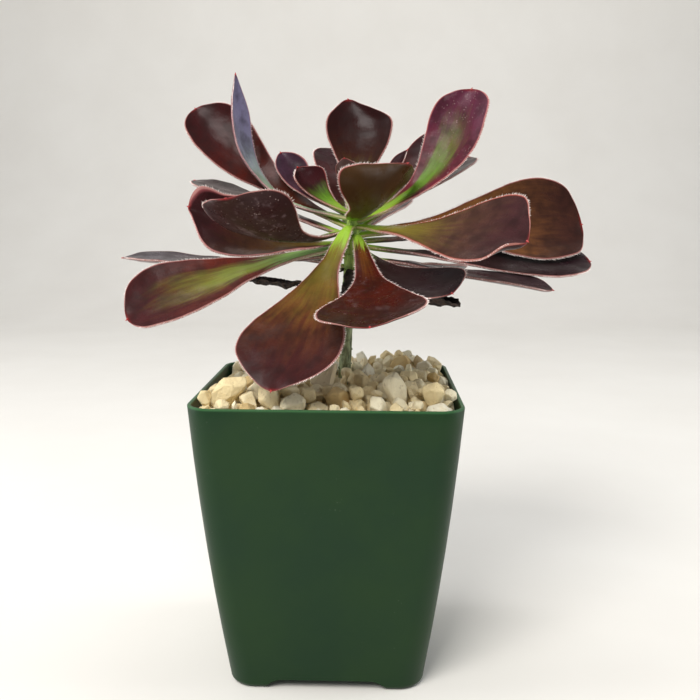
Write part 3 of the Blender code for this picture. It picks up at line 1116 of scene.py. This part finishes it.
# %% The whole blade
def smooth_leaf(node, lean=0.0, point=0.9, taper=0.9, peak=0.0, tuck=0.0):
    """A finished leaf surface made from a solid's rings, with its measures."""
    blade = merged_copy(node, node.replace("leaf_", "blade_", 1))
    mesh = blade.data
    spots = np.array([v.co for v in mesh.vertices])
    rings, tip = ring_numbers(mesh)
    rings = aligned(spots, rings, tip)
    lines, margins = cage_edges(rings, tip)
    store_measures(mesh, spots, rings, tip)
    shape_tip(blade, spots, rings, tip, lean, point, taper, peak, tuck)
    select_pairs(blade, lambda pair: pair not in lines)
    bpy.ops.mesh.dissolve_edges(use_verts=False, use_face_split=False)
    leave_edit()
    select_pairs(blade, lambda pair: pair in margins)
    bpy.ops.transform.edge_crease(value=CREASE)
    leave_edit()
    root = Vector(spots[rings[0]].mean(axis=0))
    inward = stem_at(root.z - 1.0 * MM) - root
    select_numbers(blade, rings[0])
    bpy.ops.mesh.extrude_region_move(TRANSFORM_OT_translate={"value": inward * ROOTED})
    leave_edit()
    apply_modifier(blade, "SUBSURF", levels=3, render_levels=3)
    crumpled(blade, swell, WAVE)
    return blade


# %% [markdown]
# ## Leaves: hairs on the margins
#
# An aeonium leaf is edged with a row of tiny white teeth, like eyelashes, that lean towards
# its tip. One tooth is modelled as a four-sided spike without a base, and copies stand a
# fraction of a millimetre apart along both margins. The margin is found on the finished
# blade: its vertices lie half way between the faces and all the way across.

# %% One hair, and one point for the tip
HAIR_SPACING = 0.62 * MM
HAIR_SUNK = 0.1 * MM
HAIR, YOUNG_HAIR = 0.95 * MM, 0.5 * MM
TIP, YOUNG_TIP = 1.0 * MM, 0.6 * MM
deselect_all()
bpy.ops.mesh.primitive_cone_add(vertices=4, radius1=0.18, depth=1.0, location=(0, 0, 0.5))
hair = settle(bpy.context.active_object, "hair")
select_where(hair, lambda p: p.z < 0.1)
bpy.ops.mesh.delete(type="ONLY_FACE")
leave_edit()
deselect_all()
bpy.ops.mesh.primitive_cone_add(
    vertices=10, radius1=0.5, radius2=0.08, depth=1.0, location=(0, 0, 0.5)
)
point = settle(bpy.context.active_object, "point")
print("hair", len(hair.data.polygons), "faces; point", len(point.data.polygons))


# %% The margin of a finished blade
def values_of(mesh, name):
    found = np.zeros(len(mesh.vertices), np.float32)
    mesh.attributes[name].data.foreach_get("value", found)
    return found


def margin_line(mesh, side):
    """Places and outward directions along one margin, in order from the stalk."""
    across, under, along = (values_of(mesh, n) for n in ("across", "under", "along"))
    spots = np.array([v.co for v in mesh.vertices])
    outs = np.array([v.normal for v in mesh.vertices])
    keep = (across * side > 0.995) & (abs(under - 0.5) < 0.02) & (along > 0.03)
    order = np.argsort(along[keep])
    return spots[keep][order], outs[keep][order]


# %% Rows of hairs
def stand(spot, way, aside, length, width):
    """The place of a small shape that stands at a spot and points one way."""
    up = Vector(way).normalized()
    right = Vector(aside).cross(up).normalized()
    turn = Matrix((right * width, up.cross(right) * width, up * length)).transposed()
    return Matrix.Translation(spot) @ turn.to_4x4()


def hairs_on(blade, length):
    """A row of hairs on both margins of a blade, as one mesh."""
    places = []
    for side in (-1, 1):
        spots, outs = margin_line(blade.data, side)
        steps = np.linalg.norm(np.diff(spots, axis=0), axis=1)
        run = np.concatenate([[0], np.cumsum(steps)])

        def at(distance, values):
            return Vector([np.interp(distance, run, values[:, k]) for k in range(3)])

        for distance in np.arange(0.5 * MM, run[-1] - 0.5 * MM, HAIR_SPACING):
            distance += chance.uniform(-0.2, 0.2) * HAIR_SPACING
            spot = at(distance, spots)
            lean = (at(distance + 0.6 * MM, spots) - spot).normalized()
            out = at(distance, outs).normalized()
            way = out + lean * chance.uniform(0.2, 0.8)
            way = way + Vector([chance.gauss(0, 0.12) for _ in range(3)])
            size = length * chance.uniform(0.65, 1.15)
            places.append(stand(spot - out * HAIR_SUNK, way, lean, size, size))
    return many(hair, places, "hairs")


# %% [markdown]
# ## Leaf skin
#
# All the leaves share one pattern with different settings, so it is a node group. Green
# starts at the stalk and runs up the middle of the blade as far as the light let it stay,
# and the rest is the dark red pigment that strong sun brings out. Along the margin runs a
# thin red line with a paler edge, and some leaves are speckled. The group is given the four
# measures and the colours, and gives back colour, roughness and height.

# %% The skin group
skin, entry, leave = new_group(
    "leaf_skin",
    {
        "Along": 0.5,
        "Across": 0.0,
        "Under": 0.0,
        "Margin": 5.0,
        "Blade": rgb(72, 40, 40),
        "Far": rgb(56, 34, 40),
        "Green": rgb(108, 138, 52),
        "Stalk": rgb(142, 178, 56),
        "Below": rgb(80, 60, 58),
        "Rim": rgb(104, 34, 38),
        "Stalk Reach": 0.14,
        "Reach": 0.5,
        "Band": 0.8,
        "Strength": 0.8,
        "Streaks": 0.6,
        "Speckles": 0.0,
        "Seed": 0.0,
    },
    {"Colour": rgb(0, 0, 0), "Roughness": 0.0, "Height": 0.0},
)
t = skin
along, across = entry["Along"], entry["Across"]
from_middle = computed(t, "ABSOLUTE", across)
streak_place = vector_of(t, times(t, across, 5.0), times(t, along, 3.5), entry["Seed"])
streak = noise(t, streak_place, 1.6, 5.0, 0.6)
stray = times(t, computed(t, "SUBTRACT", streak, 0.5), entry["Streaks"])
shifted = plus(t, along, times(t, stray, -0.6))
run = mask(t, shifted, times(t, entry["Reach"], 0.25), entry["Reach"], 1.0, 0.0)
spread = plus(t, from_middle, times(t, stray, -0.9))
band = mask(t, spread, times(t, entry["Band"], 0.35), entry["Band"], 1.0, 0.0)
green_share = times(t, times(t, run, band), entry["Strength"])
far = mask(t, shifted, 0.45, 0.95)
base = mixed(t, far, entry["Blade"], entry["Far"])
tint = noise(t, object_place(t), 160.0, 4.0, 0.6)
base = mixed(t, mask(t, tint, 0.3, 0.72, 0.1, 0.65), base, rgb(28, 13, 11))
colour = mixed(t, green_share, base, entry["Green"])
stalk_end = entry["Stalk Reach"]
young = mask(t, shifted, times(t, stalk_end, 0.4), stalk_end, 1.0, 0.0)
colour = mixed(t, young, colour, entry["Stalk"])
under_share = times(t, mask(t, entry["Under"], 0.4, 0.6), 0.75)
under_share = times(t, under_share, computed(t, "SUBTRACT", 1.0, young))
colour = mixed(t, under_share, colour, entry["Below"])
rim_strength = mask(t, along, 0.05, 0.3, 0.2, 0.75)
rim_share = times(t, mask(t, entry["Margin"], 0.6, 0.1), rim_strength)
colour = mixed(t, rim_share, colour, entry["Rim"])
pale_line = mask(t, entry["Margin"], 0.26, 0.08, 0.0, 0.42)
colour = mixed(t, pale_line, colour, rgb(206, 160, 150))
colour = mixed(t, mask(t, along, 0.986, 0.999, 0.0, 0.7), colour, rgb(128, 30, 32))
dots = mask(t, cells(t, object_place(t), 950.0), 0.2, 0.1)
patch = mask(t, noise(t, object_place(t), 130.0, 3.0), 0.45, 0.62)
dots = times(t, times(t, dots, patch), entry["Speckles"])
colour = mixed(t, dots, colour, rgb(186, 160, 156))
blots = mask(t, noise(t, object_place(t), 230.0, 3.0, 0.6), 0.56, 0.72, 0.0, 0.4)
blots = times(t, blots, entry["Speckles"])
colour = mixed(t, blots, colour, rgb(140, 118, 122))
feed(t, leave["Colour"], colour)
skin_noise = noise(t, object_place(t), 420.0, 4.0, 0.6)
shine = mask(t, tint, 0.3, 0.7, 0.25, 0.36)
feed(t, leave["Roughness"], plus(t, shine, times(t, dots, 0.3)))
veins = noise(t, streak_place, 4.0, 3.0, 0.6)
feed(t, leave["Height"], plus(t, times(t, skin_noise, 0.8), times(t, veins, 0.25)))
print("group", skin.name, len(skin.nodes), "nodes")


# %% A finish for one leaf
def leaf_finish(name, **settings):
    """A leaf material: the skin group with this leaf's own settings."""
    made, tree, shader = new_finish(name, roughness=0.42)
    shader.inputs["Specular IOR Level"].default_value = 0.11
    measures = {title: attribute(tree, title.lower()) for title in MEASURES}
    outputs = place_group(tree, skin, **measures, **settings)
    feed(tree, shader.inputs["Roughness"], outputs["Roughness"])
    paint(tree, shader, outputs["Colour"], bump(tree, outputs["Height"], 0.1 * MM))
    return made


def mottled(name, roughness, scale, dark, light):
    """A plain finish whose colour wanders between two."""
    made, tree, shader = new_finish(name, roughness)
    share = noise(tree, object_place(tree), scale)
    feed(tree, shader.inputs["Base Color"], mixed(tree, share, dark, light))
    return made


white_hair = mottled("margin_hairs", 0.6, 300.0, rgb(226, 205, 200), rgb(244, 236, 230))
red_point = mottled("leaf_point", 0.45, 900.0, rgb(150, 34, 38), rgb(190, 60, 54))
print("finishes", white_hair.name, red_point.name)

# %% [markdown]
# ## The rosette
#
# Each leaf has its own history of sun and shade, so each row below gives one leaf its
# colours and how far the green reaches. Leaves with no row of their own, mostly at the
# back, get the dark middle setting with a little chance in it.

# %% Colours leaf by leaf
MAROON, NIGHT, PURPLE = (72, 29, 24), (38, 18, 19), (50, 24, 29)
# The second colour on the next line is the leaf's own green with a painted sheen of white light
# on it
SLATE, GREEN_WITH_PAINTED_SHEEN = (70, 62, 72), (166, 196, 150)
looks = {
    "front_drooping": dict(
        Blade=(106, 62, 36), Far=(62, 28, 28), Green=(118, 112, 40),
        Stalk_Reach=0.22, Reach=0.72, Band=1.3, Strength=0.7,
    ),
    "front_broad": dict(
        Blade=(74, 26, 18), Far=(52, 17, 17), Green=(106, 64, 27),
        Reach=0.42, Stalk_Reach=0.12, Speckles=0.3,
    ),
    "left_banded": dict(
        Blade=(98, 40, 30), Far=(68, 30, 31), Green=(124, 138, 52), Stalk=(140, 178, 100),
        Stalk_Reach=0.42, Reach=0.95, Band=0.7, Strength=1.0,
    ),
    "left_level": dict(
        Blade=(74, 44, 46), Far=SLATE, Green=(84, 84, 52), Below=(120, 92, 94),
        Reach=0.4,
    ),
    "left_speckled": dict(
        Blade=(70, 27, 20), Far=(58, 20, 19),
        Speckles=0.9, Reach=0.3,
    ),
    "left_folded": dict(
        Blade=(66, 42, 24), Far=(54, 22, 25), Green=(92, 76, 34), Rim=(150, 80, 84),
        Reach=0.55,
    ),
    "back_left_broad": dict(
        Blade=(78, 28, 20), Far=(56, 20, 21), Green=(74, 42, 24), Below=(82, 40, 36),
        Reach=0.5, Band=1.2,
    ),
    # back_left_narrow: Blade, Far, Green and Stalk are painted pale lavender and mint. This is a
    # painted reflection of white light over the leaf's own dark purple and green, and only Below
    # keeps the plain dark maroon.
    "back_left_narrow": dict(
        Blade=(150, 156, 166), Far=(140, 132, 168), Green=GREEN_WITH_PAINTED_SHEEN, Stalk=(180, 206, 130),
        Below=(84, 34, 40), Rim=(150, 100, 120),
        Reach=0.7, Band=1.5, Strength=1.0,
    ),
    "inner_left_green": dict(
        Blade=(66, 24, 26), Far=(58, 20, 24), Green=(104, 156, 40), Rim=(134, 28, 34),
        Stalk_Reach=0.4, Reach=0.72, Band=1.3, Strength=1.0,
    ),
    "inner_left_small": dict(
        Blade=(78, 44, 56), Far=(70, 46, 62), Green=(110, 84, 50), Rim=(150, 84, 92),
        Reach=0.5,
    ),
    "centre_front": dict(
        Blade=(62, 26, 20), Far=(46, 18, 20), Green=(108, 128, 36), Below=(74, 52, 28),
        Stalk=(120, 160, 40), Rim=(140, 36, 44),
        Stalk_Reach=0.12, Reach=0.82, Band=1.0, Strength=0.95,
    ),
    "back_centre_tall": dict(
        Blade=(56, 28, 19), Far=(44, 17, 17), Green=(104, 96, 36),
        Reach=0.62, Band=1.1, Strength=0.8,
    ),
    "right_upright": dict(
        Blade=(104, 40, 50), Far=(92, 40, 60), Green=(94, 134, 40), Rim=(150, 60, 70),
        Stalk_Reach=0.3, Reach=0.98, Band=0.66, Strength=1.0, Speckles=0.45,
    ),
    "right_broad": dict(
        Blade=(130, 84, 46), Far=(60, 34, 28), Green=(160, 92, 40),
        Reach=0.55, Band=1.2, Stalk_Reach=0.18,
    ),
    "right_front": dict(
        Blade=(88, 60, 44), Far=(62, 34, 36), Green=(132, 122, 42), Rim=(150, 54, 40),
        Reach=0.62, Band=1.2, Stalk_Reach=0.2,
    ),
    "right_under": dict(
        Blade=NIGHT, Far=(34, 15, 22), Below=(44, 30, 31),
        Reach=0.25,
    ),
    "right_thin": dict(
        Blade=(56, 34, 38), Far=(60, 46, 50),
        Reach=0.2,
    ),
    "right_low_front": dict(
        Blade=NIGHT, Far=(36, 18, 24), Below=(40, 27, 28),
        Reach=0.2,
    ),
}
HEART = dict(
    Blade=(96, 90, 44), Far=(92, 60, 44), Green=(118, 158, 52),
    Reach=0.8, Stalk_Reach=0.5,
)

# %% Tips leaf by leaf: lean, point, taper, peak, tuck
ends = {
    "front_drooping": (-0.12, 1.6, 0.7),
    "left_banded": (0.15, 0.8, 0.95),
    "left_folded": (0.1, 1.6, 0.8, 7.5),
    "back_centre_tall": (0.45, 2.4, 0.55),
    "back_left_narrow": (0.0, 2.5, 0.6),
    "back_left_broad": (0.2, 0.8, 0.9),
    "inner_left_green": (-0.2, 1.2, 0.7),
    "centre_front": (0.45, 1.6, 0.8),
    "right_upright": (-0.22, 1.4, 1.1),
    "right_front": (-0.4, 0.9, 0.9, 0.0, 5.0),
    "right_broad": (-0.1, 0.7, 1.0),
}
print(len(looks), "leaves with colours of their own,", len(ends), "with tips of their own")

# %% All the leaves
vigour = random.Random(5)
blades = []
for node in sorted(n for n in nodes if n.startswith("leaf_") and "dried" not in n):
    title, young = node.removeprefix("leaf_"), "heart" in node
    blade = smooth_leaf(node, *ends.get(title, ()))
    look = dict(Blade=MAROON, Far=PURPLE, Below=(56, 38, 38), Reach=vigour.uniform(0.2, 0.4))
    look = dict(HEART) if young else {**look, **looks.get(title, {})}
    look = {key: rgb(*v) if isinstance(v, tuple) else v for key, v in look.items()}
    look["Seed"] = vigour.uniform(0, 50)
    blade.data.materials.append(leaf_finish("skin_" + title, **look))
    fringe = hairs_on(blade, YOUNG_HAIR if young else HAIR)
    fringe.data.materials.append(white_hair)
    along = values_of(blade.data, "along")
    spots = np.array([v.co for v in blade.data.vertices])
    end = Vector(spots[along.argmax()])
    before = Vector(spots[(along > 0.9) & (along < 0.95)].mean(axis=0))
    way = (end - before).normalized()
    size = YOUNG_TIP if young else TIP
    place = stand(end - way * 0.45 * size, way, (0, 0.01, 1), size, size * 0.75)
    tip = many(point, [place], "tip")
    tip.data.materials.append(red_point)
    piece = join([blade, fringe, tip], node + "_blade")
    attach(piece, "root")
    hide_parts(node)
    blades.append(piece)
for master in (hair, point):
    bpy.data.objects.remove(master)
print(len(blades), "leaves,", sum(len(b.data.polygons) for b in blades), "faces")

# %% [markdown]
# ## Dried leaves
#
# The oldest leaves wither and hang on for a while under the rosette: thin, curled and
# nearly black. Each is a smoothed copy of its solid, crumpled by a Displace modifier that
# reads a cloud texture, so both faces move together and the leaf stays thin.

# %% Withered blades
crumple = clouds_texture("crumple", 0.004)
dry, tree, shader = new_finish("withered_leaf", roughness=0.8)
place = object_place(tree)
fibres = noise(tree, place, 600.0, 5.0, 0.65)
colour = mixed(tree, mask(tree, fibres, 0.35, 0.7), rgb(22, 18, 20), rgb(72, 56, 48))
paint(tree, shader, colour, bump(tree, fibres, 0.4 * MM))
for node in sorted(n for n in nodes if "dried" in n):
    blade = smooth_leaf(node)
    crumpled(blade, crumple, 3.0 * MM)
    bpy.ops.object.shade_smooth()
    blade.data.materials.append(dry)
    settle(blade, node + "_blade")
    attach(blade, "root")
    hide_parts(node)
    print(node, len(blade.data.polygons), "faces")

# %% [markdown]
# ## Finish
#
# The dressed model has to fill the same box as the solid one, give or take the little that
# hairs and leaf edges stand proud.

# %% A last import
import json
